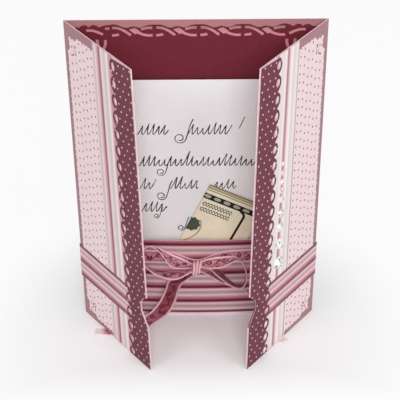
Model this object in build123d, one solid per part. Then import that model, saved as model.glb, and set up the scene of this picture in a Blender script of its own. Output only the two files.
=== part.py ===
from build123d import *
import math
import os

# A gatefold gift card that stands open, with everything in millimetres. X runs to the
# right, Z up, and both flaps swing forward, towards -Y, about the card's two folds.
# While the pieces are made, y = 0 is the back panel's inner face. Every piece is then
# moved back by the same amount, so that the origin is the middle of the footprint.

# Card: one sheet of card stock with two folds
panel_width = 149.0
card_height = 210.0
flap_width = 74.0
flap_angle = 54.2  # degrees between a flap and the back panel
stock = 0.45
fold_radius = 0.35

# Window for the bow, cut into the free edge of each flap
notch_foot = 34.3
notch_height = 23.0
notch_depth = 6.3
notch_shoulder_shares = (0.84, 0.80)  # of the depth and of the height
notch_bend_shares = (0.985, 0.64)
notch_deepest_share = 0.44

# Ribbon tails run out under the flaps, through a slight relief in their lower edges
relief_clearance = 0.15
relief_margin = 1.5  # beside the tail

# Papers on the flaps, measured from the fold
paper = 0.25
dotted_start = 2.2
dotted_end = 33.0
dotted_foot = 2.4
dotted_top_margin = 4.4
dotted_corner = 1.8
dotted_step = 2.2  # inwards, at the two corners next to the fold
dotted_reach = 12.5  # of a stepped corner along the edges
lace_pitch = 3.6
lace_depth = 0.8
striped_margin = 0.35

# Sprig punched into the dotted panel's outer corners: places from the corner, inwards
# and down, as shares of the sprig's size, with each petal's turn in degrees
sprig_size = 7.0
petal_length = 2.7
petal_width = 1.0
sprig_shares = (
    (0.66, 0.70, 130),
    (1.02, 0.66, 55),
    (1.12, 1.00, 115),
    (0.80, 1.12, 125),
    (0.62, 1.45, 40),
)

# Dark strip along the free edge, with a scalloped and punched side
strip_width = 18.0  # from its outer edge to the scallops' cusps
strip_bulge = 3.5
strip_end_margin = 0.3
strip_foot = 0.8
strip_top_margin = 1.4
strip_skew = 1.1
scallop_count = 20
scallop_end_shares = (0.28, 0.435)  # of the pitch, from the foot and the top to a middle
oval_width = 4.2
oval_height = 5.2
oval_inset = 0.35  # from the cusp line towards the fold
slit_width = 0.6
slit_height = 2.4
slit_inset = 5.2  # from the cusp line towards the free edge

# Belly band across both flaps and the back
band_foot = 30.4
band_height = 24.7
band_paper = 0.2
band_cover = 2.4  # under the dark strips, from their cusps

# Liner of the back panel, with a braid cut through it
liner_width = 139.0
liner_foot = 4.0
liner_top = 207.0
braid_pitch = 25.1
braid_turns = 4  # along the top
braid_shift = 1.4  # of the top braid, to the right
braid_slot = 1.7
braid_swing = 2.3  # of the slots, each side of the braid's line
braid_drop = 4.2  # from the liner's top edge to the braid's line
side_braid_inset = 15.4
side_braid_start = 8.0
side_braid_end = 143.0

# One turn of the braid, as shares of its pitch and of its swing
falling_shares = ((0.05, 1.0), (0.20, 0.85), (0.35, 0.0), (0.47, -1.0))
rising_shares = ((0.52, 0.40), (0.64, -0.30), (0.80, -0.95), (0.96, -1.0))
lower_stub_shares = ((0.04, -1.0), (0.12, -0.95), (0.20, -0.75))
upper_stub_shares = ((0.70, 0.60), (0.80, 0.92), (0.96, 1.0))
corner_stub_shares = ((-0.11, 0.85), (-0.01, 0.9))  # before the first turn
eye_shares = ((0.42, 0.55), (0.56, 1.10), (0.69, 0.0), (0.57, -0.80))
edge_wave_shares = ((0.0, 0.0), (0.20, 0.20), (0.38, 0.85), (0.53, 0.45), (0.66, 0.80), (0.82, 0.25))

# The liner's upper corners: two lobes and a bent slot, as shares of the corner's size
corner_size = 17.3
corner_lobe_shares = ((0.09, 0.09), (0.39, 0.09), (0.71, 0.09))
corner_slot_shares = ((0.30, 0.20), (0.50, 0.20), (0.66, 0.25), (0.84, 0.34))
lobe_radius_share = 0.6  # of the distance between a lobe's two ends
link_radius_share = 2.5  # of the distance from the last lobe to the braid

# Letter sheet
letter_width = 118.0
letter_top = 173.0
letter_paper = 0.2

# Pocket: a bowed wall with a floor, glued to the liner along its sides
pocket_width = 128.0
pocket_height = 60.0
pocket_bulge = 4.0
pocket_wall = 0.3

# Folded voucher slip, tucked behind the pocket
voucher_width = 39.0
voucher_length = 66.0
voucher_corner_x = 7.5
voucher_corner_z = 100.0
voucher_lean = 25.4  # degrees
voucher_paper = 0.22
voucher_gap = 0.25
voucher_layers = 4

# Rhinestones up the right flap, from the largest above the belly band to the smallest:
# each one's diameter and the gap below it
gem_inset = 10.9  # from the scallops' cusps towards the fold
gem_sizes = (8.6, 8.0, 6.4, 6.4, 4.8, 4.6, 4.4, 3.8, 3.2)
gem_gaps = (6.9, 5.7, 4.8, 3.3, 4.9, 1.3, 1.3, 2.1, 3.0)
gem_sides = 8
gem_rise_share = 0.38
gem_girdle_share = 0.10
gem_table_share = 0.55

# Ribbon: a flat run across the pocket, a knot, two loops and two tails
ribbon_width = 10.0
ribbon_thickness = 0.35
ribbon_seat = 0.05
ribbon_foot = 42.5
ribbon_reach = 60.0  # of the flat run to each side
knot_size = (7.0, 6.4, 9.0)
knot_round = 1.2
knot_x = -0.9
knot_drop = 1.3  # from the flat run's lower edge
bow_span = 60.0

# Stations of the bow's strands: the two edges of the ribbon, each as x, y and z. They
# are shares of the span, x and z from the knot's middle and y from the pocket's front.
# A tail's z is its height over the table, as a share of the knot's height over it.
left_loop_shares = (
    ((-0.030, -0.055, 0.040), (-0.030, -0.075, 0.010)),
    ((-0.100, -0.070, 0.100), (-0.135, -0.190, 0.090)),
    ((-0.175, -0.080, 0.155), (-0.235, -0.235, 0.125)),
    ((-0.275, -0.085, 0.210), (-0.300, -0.250, 0.195)),
    ((-0.355, -0.085, 0.260), (-0.355, -0.250, 0.300)),
    ((-0.425, -0.080, 0.295), (-0.415, -0.230, 0.370)),
    ((-0.505, -0.070, 0.290), (-0.495, -0.205, 0.390)),
    ((-0.575, -0.070, 0.240), (-0.570, -0.200, 0.335)),
    ((-0.600, -0.070, 0.155), (-0.595, -0.200, 0.250)),
    ((-0.575, -0.070, 0.065), (-0.565, -0.200, 0.160)),
    ((-0.495, -0.065, -0.010), (-0.475, -0.210, 0.055)),
    ((-0.400, -0.060, -0.055), (-0.385, -0.215, -0.005)),
    ((-0.295, -0.045, -0.060), (-0.285, -0.205, -0.050)),
    ((-0.180, -0.035, -0.065), (-0.195, -0.160, -0.075)),
    ((-0.100, -0.035, -0.050), (-0.115, -0.110, -0.065)),
    ((-0.030, -0.035, -0.020), (-0.030, -0.080, -0.030)),
)
right_loop_shares = (
    ((0.030, -0.055, 0.070), (0.030, -0.075, 0.040)),
    ((0.100, -0.070, 0.125), (0.120, -0.185, 0.125)),
    ((0.170, -0.075, 0.145), (0.195, -0.215, 0.135)),
    ((0.245, -0.085, 0.160), (0.265, -0.245, 0.175)),
    ((0.325, -0.095, 0.180), (0.345, -0.260, 0.215)),
    ((0.400, -0.100, 0.170), (0.415, -0.260, 0.235)),
    ((0.455, -0.100, 0.125), (0.460, -0.250, 0.210)),
    ((0.495, -0.100, 0.035), (0.495, -0.240, 0.125)),
    ((0.520, -0.100, -0.060), (0.515, -0.240, 0.030)),
    ((0.515, -0.105, -0.140), (0.505, -0.250, -0.050)),
    ((0.480, -0.105, -0.200), (0.465, -0.250, -0.125)),
    ((0.415, -0.090, -0.190), (0.385, -0.235, -0.135)),
    ((0.335, -0.070, -0.135), (0.295, -0.220, -0.075)),
    ((0.265, -0.050, -0.075), (0.210, -0.180, -0.015)),
    ((0.180, -0.040, -0.020), (0.135, -0.130, 0.020)),
    ((0.040, -0.050, 0.020), (0.040, -0.080, -0.005)),
)
left_tail_shares = (
    ((-0.096, -0.054, 0.905), (-0.015, -0.069, 0.915)),
    ((-0.203, -0.069, 0.839), (-0.095, -0.169, 0.900)),
    ((-0.308, -0.069, 0.754), (-0.163, -0.179, 0.809)),
    ((-0.344, -0.069, 0.589), (-0.200, -0.174, 0.659)),
    ((-0.389, -0.073, 0.426), (-0.242, -0.179, 0.487)),
    ((-0.442, -0.089, 0.300), (-0.291, -0.189, 0.334)),
    ((-0.507, -0.124, 0.210), (-0.364, -0.219, 0.224)),
    ((-0.582, -0.156, 0.147), (-0.469, -0.274, 0.151)),
    ((-0.667, -0.186, 0.075), (-0.590, -0.324, 0.070)),
    ((-0.795, -0.200, 0.000), (-0.775, -0.350, 0.000)),
    ((-0.945, -0.205, 0.000), (-0.940, -0.350, 0.000)),
    ((-1.115, -0.255, 0.000), (-1.085, -0.330, 0.000)),
)
right_tail_shares = (
    ((0.030, -0.051, 0.945), (0.030, -0.094, 0.969)),
    ((0.102, -0.052, 0.895), (0.102, -0.136, 0.967)),
    ((0.188, -0.056, 0.801), (0.186, -0.181, 0.927)),
    ((0.268, -0.062, 0.725), (0.265, -0.201, 0.873)),
    ((0.381, -0.073, 0.640), (0.377, -0.211, 0.796)),
    ((0.504, -0.089, 0.588), (0.498, -0.227, 0.747)),
    ((0.564, -0.109, 0.517), (0.557, -0.248, 0.671)),
    ((0.651, -0.139, 0.391), (0.643, -0.276, 0.520)),
    ((0.727, -0.183, 0.190), (0.696, -0.312, 0.264)),
    ((0.800, -0.245, 0.000), (0.725, -0.340, 0.000)),
    ((0.880, -0.340, 0.000), (0.805, -0.405, 0.000)),
    ((0.960, -0.435, 0.000), (0.900, -0.475, 0.000)),
    ((1.015, -0.520, 0.000), (0.975, -0.545, 0.000)),
)

# One overrun serves every cut that has to pass right through
overrun = 2.0

# Worked out from the sizes above
turn = math.radians(flap_angle)
half_panel = panel_width / 2
relief_height = 2 * ribbon_seat + ribbon_thickness + relief_clearance
paper_level = stock
band_level = paper_level + paper
strip_level = band_level + band_paper
liner_front = -paper
letter_front = liner_front - letter_paper
pocket_radius = ((pocket_width / 2) ** 2 + pocket_bulge**2) / (2 * pocket_bulge)
pocket_centre = liner_front - pocket_bulge + pocket_radius
pocket_middle = liner_front - pocket_bulge
front_reach = flap_width * math.sin(turn) + stock * math.cos(turn)
centre_shift = (front_reach - stock - band_paper) / 2
strip_end = flap_width - strip_end_margin
strip_cusp = strip_end - strip_width
band_end = strip_cusp + band_cover
gem_place = strip_cusp - gem_inset
knot_z = ribbon_foot - knot_drop
braid_half = braid_turns * braid_pitch / 2
braid_start = braid_shift - braid_half
strip_top = card_height - strip_top_margin
scallop_pitch = (strip_top - strip_foot) / (scallop_count - 1 + sum(scallop_end_shares))
flap_plane = Plane(
    origin=(-half_panel, 0, 0),
    x_dir=(math.cos(turn), -math.sin(turn), 0),
    z_dir=(-math.sin(turn), -math.cos(turn), 0),
)
panel_plane = Plane(origin=(0, 0, 0), x_dir=(1, 0, 0), z_dir=(0, -1, 0))


def on_flap(outline, level, thickness):
    """A sheet of that outline on the left flap, its back at that height over the inner face."""
    face = flap_plane.offset(level) * outline
    return extrude(face, amount=thickness, dir=flap_plane.z_dir)


def across(piece):
    """The same piece on the other flap."""
    return mirror(piece, about=Plane.YZ)


def flap_point(along, out):
    """A point of the left flap in plan, that far from the fold and outside the inner face."""
    x = -half_panel + along * math.cos(turn) - out * math.sin(turn)
    y = -along * math.sin(turn) - out * math.cos(turn)
    return (x, y)


def fold_point(out, behind):
    """In plan, where a line outside the left flap meets a line behind the back panel."""
    along = -(behind + out * math.cos(turn)) / math.sin(turn)
    return flap_point(along, out)


def wrap_outline(end, inner_out, inner_behind, thickness, rounding):
    """The plan of a strip that runs from flap to flap around the back, with mitred folds."""
    outer_out = inner_out + thickness
    outer_behind = inner_behind + thickness
    half = [
        flap_point(end, inner_out),
        fold_point(inner_out, inner_behind),
        fold_point(outer_out, outer_behind),
        flap_point(end, outer_out),
    ]
    inner_half = half[:2]
    outer_half = half[2:]
    mirrored = [(-x, y) for x, y in reversed(inner_half)]
    mirrored += [(-x, y) for x, y in reversed(outer_half)]
    points = inner_half + mirrored + outer_half
    outline = make_face(Polyline(*points, close=True))
    folds = outline.vertices().sort_by(Axis.Y)[-2:]
    return fillet(folds, rounding)


def notch_outline(inset):
    """The bow's window: a slanting step, a bend to the deepest point and a straight run out."""
    edge = flap_width - inset
    top = notch_foot + notch_height
    shoulder_in, shoulder_up = notch_shoulder_shares
    bend_in, bend_up = notch_bend_shares
    shoulder = (edge - shoulder_in * notch_depth, notch_foot + shoulder_up * notch_height)
    bend = (edge - bend_in * notch_depth, notch_foot + bend_up * notch_height)
    deepest = (edge - notch_depth, notch_foot + notch_deepest_share * notch_height)
    lines = Polyline((edge + overrun, top), (edge, top), shoulder)
    lines += ThreePointArc(shoulder, bend, deepest)
    lines += Polyline(
        deepest, (edge, notch_foot), (edge + overrun, notch_foot), (edge + overrun, top)
    )
    return make_face(lines)


def block(low_x, high_x, low_y, high_y):
    """A rectangle between those limits."""
    place = Pos((low_x + high_x) / 2, (low_y + high_y) / 2)
    return place * Rectangle(high_x - low_x, high_y - low_y)


def relief(tail):
    """The slight cut in the left flap's lower edge that lets that ribbon tail through."""
    foot = on_flap(block(0, flap_width, 0, relief_height), 0, band_level)
    crossing = (foot & tail).bounding_box()
    near = crossing.min.X + half_panel
    far = crossing.max.X + half_panel + band_level * math.sin(turn)
    start = near / math.cos(turn) - relief_margin
    end = far / math.cos(turn) + relief_margin
    return on_flap(block(start, end, -overrun, relief_height), -overrun, stock + 2 * overrun)


def card_base():
    """The folded sheet, with the bow's windows and the tails' reliefs."""
    sheet = extrude(wrap_outline(flap_width, 0, 0, stock, fold_radius), card_height)
    window = on_flap(notch_outline(0), -overrun, stock + 2 * overrun)
    sheet -= window
    sheet -= across(window)
    sheet -= relief(tail(left_tail_shares))
    sheet -= across(relief(across(tail(right_tail_shares))))
    return sheet


def lace(start, end):
    """Small arcs from start to end that bulge to the right of the way they run."""
    length = math.dist(start, end)
    count = max(1, round(length / lace_pitch))
    run = ((end[0] - start[0]) / count, (end[1] - start[1]) / count)
    out = (run[1] * count / length, -run[0] * count / length)
    arcs = []
    for i in range(count):
        first = (start[0] + i * run[0], start[1] + i * run[1])
        last = (first[0] + run[0], first[1] + run[1])
        crest = (
            (first[0] + last[0]) / 2 + out[0] * lace_depth,
            (first[1] + last[1]) / 2 + out[1] * lace_depth,
        )
        arcs.append(ThreePointArc(first, crest, last))
    return arcs


def sprig(corner_x, corner_y, down):
    """The petals cut near an outer corner, pointing at it."""
    petals = []
    for across_share, down_share, angle in sprig_shares:
        place = Pos(corner_x + across_share * sprig_size, corner_y + down * down_share * sprig_size)
        petals.append(place * Rot(0, 0, -down * angle) * Ellipse(petal_length / 2, petal_width / 2))
    return petals


def stepped_corner(left, low):
    """The points around the dotted panel's lower corner next to the fold, upwards."""
    inner = left + dotted_step
    level = low + dotted_step
    return [
        (left + dotted_reach, low),
        (left + dotted_reach - dotted_step, level),
        (inner + dotted_corner, level),
        (inner, level + dotted_corner),
        (inner, low + dotted_reach - dotted_step),
        (left, low + dotted_reach),
    ]


def corner_edges(points):
    """A stepped corner through its six points, with lace on its two sides."""
    first, second, third, fourth, fifth, sixth = points
    bend = RadiusArc(third, fourth, dotted_corner)
    return [Line(first, second), *lace(second, third), bend, *lace(fourth, fifth), Line(fifth, sixth)]


def dotted_panel():
    """The panel next to the fold, with lace on three sides and a sprig in two corners."""
    low = dotted_foot + lace_depth
    high = card_height - dotted_top_margin - lace_depth
    left = dotted_start + lace_depth
    lower = stepped_corner(left, low)
    upper = [(x, low + high - y) for x, y in reversed(lower)]
    edges = lace((dotted_end, low), lower[0]) + corner_edges(lower)
    edges += lace(lower[-1], upper[0]) + corner_edges(upper)
    edges += lace(upper[-1], (dotted_end, high))
    closing = Line((dotted_end, high), (dotted_end, low))
    outline = make_face(Curve() + edges + [closing])
    outline -= sprig(left + dotted_step, high - dotted_step, -1)
    outline -= sprig(left + dotted_step, low + dotted_step, 1)
    return on_flap(outline, paper_level, paper)


def striped_strip():
    """The strip between the dotted panel and the free edge, cut out around the window."""
    edge = flap_width - striped_margin
    outline = block(dotted_end, edge, relief_height, card_height - striped_margin)
    outline -= notch_outline(striped_margin)
    return on_flap(outline, paper_level, paper)


def strip_ends():
    """What is left of the dark strip's plane between its straight foot and its slanted top."""
    near = strip_cusp - strip_bulge - overrun
    far = strip_end + overrun
    near_top = strip_top + (near - strip_cusp) * strip_skew / strip_width
    far_top = strip_top + (far - strip_cusp) * strip_skew / strip_width
    corners = ((near, strip_foot), (far, strip_foot), (far, far_top), (near, near_top))
    return make_face(Polyline(*corners, close=True))


def scalloped_strip():
    """The dark strip: scallops towards the fold, each with an oval and a slit."""
    edges = []
    holes = []
    start = strip_foot + (scallop_end_shares[0] - 0.5) * scallop_pitch
    finish = start + scallop_count * scallop_pitch
    for i in range(scallop_count):
        low = start + i * scallop_pitch
        high = low + scallop_pitch
        middle = (low + high) / 2
        crest = (strip_cusp - strip_bulge, middle)
        edges.append(ThreePointArc((strip_cusp, low), crest, (strip_cusp, high)))
        holes.append(Pos(strip_cusp - oval_inset, middle) * Ellipse(oval_width / 2, oval_height / 2))
        holes.append(Pos(strip_cusp + slit_inset, middle) * Ellipse(slit_width / 2, slit_height / 2))
    high = card_height + overrun
    back = ((strip_cusp, finish), (strip_cusp, high), (strip_end, high))
    edges.append(Polyline(*back, (strip_end, start), (strip_cusp, start)))
    outline = make_face(Curve() + edges) & strip_ends()
    outline -= holes
    outline -= notch_outline(strip_end_margin)
    return on_flap(outline, strip_level, paper)


def belly_band():
    """The striped band around the back, its ends under the scallops of the dark strips."""
    outline = wrap_outline(band_end, band_level, stock, band_paper, fold_radius)
    return Pos(0, 0, band_foot) * extrude(outline, band_height)


def on_panel(outline, level, thickness):
    """A sheet of that outline on the back panel, its back at that height over the inner face."""
    face = panel_plane.offset(level) * outline
    return extrude(face, amount=thickness, dir=panel_plane.z_dir)


def braid_slot_along(shares, start):
    """A slot through one set of the braid's shares, in the turn that starts there."""
    points = [(start + along * braid_pitch, rise * braid_swing) for along, rise in shares]
    return trace(Spline(*points), braid_slot)


def braid(turns):
    """The openings of a braid that runs along X from zero, about the line y = 0."""
    openings = []
    for i in range(turns):
        start = i * braid_pitch
        for shares in (falling_shares, rising_shares, lower_stub_shares, upper_stub_shares):
            openings.append(braid_slot_along(shares, start))
        eye = [(start + along * braid_pitch, rise * braid_swing) for along, rise in eye_shares]
        openings.append(make_face(Polyline(*eye, close=True)))
    return openings


def corner_points(shares):
    """Points in the liner's upper left corner."""
    return [
        (-braid_half - corner_size + along * corner_size, liner_top - down * corner_size)
        for along, down in shares
    ]


def bulge(start, end, radius_share):
    """An arc above the two points, its radius that share of the distance between them."""
    return RadiusArc(start, end, radius_share * math.dist(start, end))


def liner_edge():
    """The liner's top edge from left to right: a lobed corner, the braid's wave, a corner."""
    lobes = corner_points(corner_lobe_shares)
    right_lobes = [(-x, y) for x, y in reversed(lobes)]
    wave = []
    for i in range(braid_turns):
        for along, down in edge_wave_shares:
            wave.append((braid_start + (i + along) * braid_pitch, liner_top - down * braid_swing))
    wave.append((braid_start + braid_turns * braid_pitch, liner_top))
    left = [bulge(a, b, lobe_radius_share) for a, b in zip(lobes, lobes[1:])]
    left.append(bulge(lobes[-1], wave[0], link_radius_share))
    right = [bulge(wave[-1], right_lobes[0], link_radius_share)]
    right += [bulge(a, b, lobe_radius_share) for a, b in zip(right_lobes, right_lobes[1:])]
    return left + [Spline(*wave)] + right


def liner_panel():
    """The dark liner, with the braid cut along its top and down both sides."""
    half = liner_width / 2
    edge = liner_edge()
    first = edge[0] @ 0
    sides = Polyline(
        (first.X, first.Y),
        (-half, first.Y),
        (-half, liner_foot),
        (half, liner_foot),
        (half, first.Y),
        (-first.X, first.Y),
    )
    outline = make_face(Curve() + edge + sides)
    top_slots = braid(braid_turns) + [braid_slot_along(corner_stub_shares, 0)]
    outline -= [Pos(braid_start, liner_top - braid_drop) * slot for slot in top_slots]
    side_turns = max(1, round((side_braid_end - side_braid_start) / braid_pitch))
    side_place = Pos(-half + side_braid_inset, liner_top - side_braid_start) * Rot(0, 0, -90)
    side_slots = [side_place * slot for slot in braid(side_turns)]
    side_slots.append(trace(Spline(*corner_points(corner_slot_shares)), braid_slot))
    outline -= side_slots
    outline -= [mirror(slot, about=Plane.YZ) for slot in side_slots]
    return on_panel(outline, 0, paper)


def letter_sheet():
    """The plain sheet that stands on the pocket's floor, against the liner."""
    outline = block(-letter_width / 2, letter_width / 2, pocket_wall, letter_top)
    return on_panel(outline, paper, letter_paper)


def pocket_arc(half_width, out):
    """In plan, an arc at that distance outside the pocket's front, from left to right."""
    radius = pocket_radius + out
    ends = pocket_centre - math.sqrt(radius**2 - half_width**2)
    return ThreePointArc((-half_width, ends), (0, pocket_centre - radius), (half_width, ends))


def pocket():
    """The bowed wall, as thick all over, and the floor that closes it."""
    half = pocket_width / 2
    foot = half - pocket_wall * half / (2 * pocket_bulge)
    outer = pocket_arc(half, 0)
    inner = ThreePointArc(
        (-foot, liner_front), (0, pocket_middle + pocket_wall), (foot, liner_front)
    )
    left = Line((-half, liner_front), (-foot, liner_front))
    right = Line((foot, liner_front), (half, liner_front))
    wall = extrude(make_face(Curve() + [outer, right, inner, left]), pocket_height)
    back = Line((half, liner_front), (-half, liner_front))
    floor = extrude(make_face(Curve() + [outer, back]), pocket_wall)
    return wall + floor


def folded_voucher():
    """A slip folded to and fro, leaning to the right, with its lower end in the pocket."""
    lean = math.radians(voucher_lean)
    place = Plane(
        origin=(voucher_corner_x, letter_front, voucher_corner_z),
        x_dir=(math.cos(lean), 0, -math.sin(lean)),
        z_dir=(-math.sin(lean), 0, -math.cos(lean)),
    )
    step = voucher_paper + voucher_gap
    bend = step / 2
    near = bend + voucher_paper / 2
    far = voucher_width - near
    path = Curve()
    for i in range(voucher_layers):
        depth = voucher_paper / 2 + i * step
        path += Line((near, depth), (far, depth))
        if i + 1 < voucher_layers:
            end, side = (far, 1) if i % 2 == 0 else (near, -1)
            path += ThreePointArc((end, depth), (end + side * bend, depth + bend), (end, depth + step))
    section = place * trace(path, voucher_paper)
    return extrude(section, amount=voucher_length, dir=place.z_dir)


def rhinestone(size, height):
    """A flat-backed stone: a low girdle under a faceted crown with a flat table."""
    rise = gem_rise_share * size
    girdle = gem_girdle_share * size
    outline = RegularPolygon(size / 2, gem_sides)
    table = scale(outline, gem_table_share)
    crown = loft([Pos(0, 0, girdle) * outline, Pos(0, 0, rise) * table], ruled=True)
    stone = extrude(outline, girdle) + crown
    seat = flap_plane.offset(band_level)
    return across(seat * Pos(gem_place, height) * stone)


def bow_place(across_share, out_share, height):
    """A point of the bow from its shares of the span and its height over the table."""
    return Vector(knot_x + across_share * bow_span, pocket_middle + out_share * bow_span, height)


def loop(shares):
    """One of the bow's loops."""
    return strand(
        [[bow_place(x, y, knot_z + z * bow_span) for x, y, z in station] for station in shares]
    )


def tail(shares):
    """One of the ribbon's tails, which comes down from the knot and lies on the table."""
    lowest = ribbon_seat + ribbon_thickness / 2
    return strand(
        [[bow_place(x, y, max(z * knot_z, lowest)) for x, y, z in station] for station in shares]
    )


def strand(edges):
    """A stretch of ribbon that runs through its pairs of edge points, as thick all over."""
    middles = [(a + b) / 2 for a, b in edges]
    last = len(edges) - 1
    wires = []
    for i, (a, b) in enumerate(edges):
        along = middles[min(i + 1, last)] - middles[max(i - 1, 0)]
        up = (b - a).cross(along).normalized() * (ribbon_thickness / 2)
        wires.append(Wire.make_polygon([a + up, b + up, b - up, a - up], close=True))
    return Solid.make_loft(wires, ruled=True)


def ribbon():
    """One ribbon: the flat run on the pocket, the knot, its two loops and its two tails."""
    near = ribbon_seat
    far = ribbon_seat + ribbon_thickness
    outer = pocket_arc(ribbon_reach, far)
    inner = pocket_arc(ribbon_reach, near)
    ends = [Line(inner @ 0, outer @ 0), Line(inner @ 1, outer @ 1)]
    run = Pos(0, 0, ribbon_foot) * extrude(make_face(Curve() + [outer, inner] + ends), ribbon_width)
    knot_width, knot_depth, knot_height = knot_size
    post = extrude(Ellipse(knot_width / 2, knot_depth / 2), knot_height)
    rims = post.edges().filter_by(GeomType.ELLIPSE)
    knot_y = pocket_middle - near - knot_depth / 2
    knot = Pos(knot_x, knot_y, knot_z - knot_height / 2) * fillet(rims, knot_round)
    loops = [loop(shares) for shares in (left_loop_shares, right_loop_shares)]
    tails = [tail(shares) for shares in (left_tail_shares, right_tail_shares)]
    bow = knot
    for piece in loops + tails:
        bow += piece
    return bow + run


def save(name, piece):
    """Moves a piece to the frame's origin and writes it."""
    export_step(Pos(0, centre_shift, 0) * piece, os.path.join("parts", name + ".step"))


os.makedirs("parts", exist_ok=True)
save("card_base", card_base())
save("liner_panel", liner_panel())
save("letter_sheet", letter_sheet())
save("pocket", pocket())
save("folded_voucher", folded_voucher())
save("ribbon", ribbon())
save("belly_band", belly_band())
for name, make in (
    ("dotted_panel", dotted_panel),
    ("striped_strip", striped_strip),
    ("scalloped_strip", scalloped_strip),
):
    piece = make()
    save("left_" + name, piece)
    save("right_" + name, across(piece))
gem_foot = band_foot + band_height
for number, (size, gap) in enumerate(zip(gem_sizes, gem_gaps), start=1):
    save(f"rhinestone_{number}", rhinestone(size, gem_foot + gap + size / 2))
    gem_foot += gap + size
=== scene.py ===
import math
import random

import bpy
import numpy as np
from mathutils import Euler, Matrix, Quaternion, Vector


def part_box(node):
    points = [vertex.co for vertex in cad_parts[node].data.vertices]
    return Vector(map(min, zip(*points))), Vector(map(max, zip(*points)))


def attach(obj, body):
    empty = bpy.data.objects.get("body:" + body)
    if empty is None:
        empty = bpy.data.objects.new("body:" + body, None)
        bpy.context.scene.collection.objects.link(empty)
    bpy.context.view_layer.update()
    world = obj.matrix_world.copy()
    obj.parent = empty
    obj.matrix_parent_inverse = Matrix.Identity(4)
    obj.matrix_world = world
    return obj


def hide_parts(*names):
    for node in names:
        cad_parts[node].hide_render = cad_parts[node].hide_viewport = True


# The gatefold gift card, dressed. Lengths are in metres and angles in degrees. X runs to
# the right, Z up, and both flaps open towards -Y.
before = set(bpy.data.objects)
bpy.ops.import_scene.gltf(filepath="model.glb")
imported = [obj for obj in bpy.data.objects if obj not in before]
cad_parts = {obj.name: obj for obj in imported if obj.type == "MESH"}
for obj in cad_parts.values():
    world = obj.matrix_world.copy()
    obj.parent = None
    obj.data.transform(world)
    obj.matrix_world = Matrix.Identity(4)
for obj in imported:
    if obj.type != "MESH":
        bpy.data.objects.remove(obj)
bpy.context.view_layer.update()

MM = 0.001

# Card, as cut and folded
panel_width = 149 * MM
card_height = 210 * MM
flap_width = 74 * MM
flap_angle = 54.2
flap_twist = 2.0  # more at the flaps' tops and less at their feet
card_stock = 0.45 * MM
paper = 0.25 * MM
bisect_step = 10 * MM
panel_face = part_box("liner_panel")[1].y  # the back panel's inner face

# Painted shade in the sprigs punched near the fold, in millimetres from the fold and up
sprig_along = 10.5
sprig_heights = (12.0, 196.0)
sprig_reach = 5.5

# Papers as the shaders paint them, in millimetres where MM isn't said
paper_specular = 0.12
paper_roughness = 0.6
grain_height = 0.03 * MM
cut_wall = 0.09  # from a pale paper's face down to where its cut edge starts
dark_cut_wall = 0.06
lining_top = 204.0  # the card's inside is rosier below this height
band_line = 43.2  # height of a dark line in the belly band
band_rim = 54.1
pocket_line = 57.2  # height of a dark line in the pocket
pocket_foot_line = 3.0
pocket_foot_edge = 1.9
pocket_top_edge = 59.95

# The windows' edges, in millimetres from the fold and up
window_depth = 67.2
window_rows = (33.8, 57.6)
window_bend = 50.0

# Letter, which leans forward a little at its top
letter_width = 118 * MM
letter_paper = 0.2 * MM
letter_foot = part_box("letter_sheet")[0].z
letter_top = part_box("letter_sheet")[1].z
letter_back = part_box("letter_sheet")[1].y
letter_flat = 120 * MM  # height up to which the letter lies on the liner
letter_lean = 1.8 * MM

# Pen strokes, which spell nothing: rows by their baselines, each with its waves' starts and
# ends, then curls by their middle and size, and one loose stroke by its ends
pen_radius = 0.36 * MM
pen_height = 6.2 * MM
pen_loop = 3.3 * MM
pen_step = 0.22 * MM
pen_slant = 0.34
pen_rows = (
    (135.6 * MM, ((-36 * MM, -18.5 * MM), (-6 * MM, 19 * MM))),
    (113.4 * MM, ((-36 * MM, 37.5 * MM),)),
    (96.8 * MM, ((-36 * MM, -27.5 * MM), (-17 * MM, 0 * MM), (9 * MM, 23 * MM))),
    (80.0 * MM, ((-35.5 * MM, -20 * MM),)),
)
pen_curls = (
    (-10.4 * MM, 132.9 * MM, 3.9 * MM),
    (-22.4 * MM, 109.0 * MM, 3.0 * MM),
    (-22.4 * MM, 91.6 * MM, 3.3 * MM),
    (-25.8 * MM, 76.6 * MM, 1.9 * MM),
    (-10.6 * MM, 67.5 * MM, 2.4 * MM),
)
pen_dash = ((28.5 * MM, 147.5 * MM), (25.2 * MM, 139.5 * MM))
curl_steps = 17
curl_steps_to_a_turn = 12
curl_steps_to_the_middle = 26

# Folded slip, in millimetres, as its print is measured
slip_corner_x = 7.5
slip_corner_z = 100.0
slip_lean = 25.4

# Ribbon, as it was woven and tied
ribbon_width = 10 * MM
ribbon_thickness = 0.35 * MM
ribbon_foot = 42.5 * MM
ribbon_reach = 60 * MM
run_pinch_reach = 12 * MM
run_pinch_drop = 4.5 * MM
run_pinch_share = 0.5
ribbon_seat = 0.225 * MM
bow_span = 60 * MM
knot_x = -0.9 * MM
knot_z = 41.2 * MM
knot_size = (6.6 * MM, 6.4 * MM, 9.6 * MM)
knot_pleats = 3
knot_lean = 0.14
knot_pleat_depth = 0.9 * MM
knot_tuck = 0.22
knot_waist = 0.18
knot_squareness = 2.6
strand_rows = 72
strand_columns = 8
thread_reach = 5 * MM
thread_width = 0.22 * MM
threads_to_an_end = 18
tail_mark = 1000.0  # millimetres, where the left tail's own measure ends
fold_mark = 2000.0  # where the right loop's ends
far_tail_mark = 3000.0  # where the right tail's ends

# Stretches of the ribbon that take painted shade, in millimetres: a mark, then how far before it
# the stretch starts, with its blur, and how far before it the stretch ends, with its blur
painted_shade_stretches = (
    (tail_mark, 90, 1.0, 36, 24.0),
    (fold_mark, 48, 10.0, 4, 6.0),
    (far_tail_mark, 60, 16.0, 20, 10.0),
)

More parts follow.
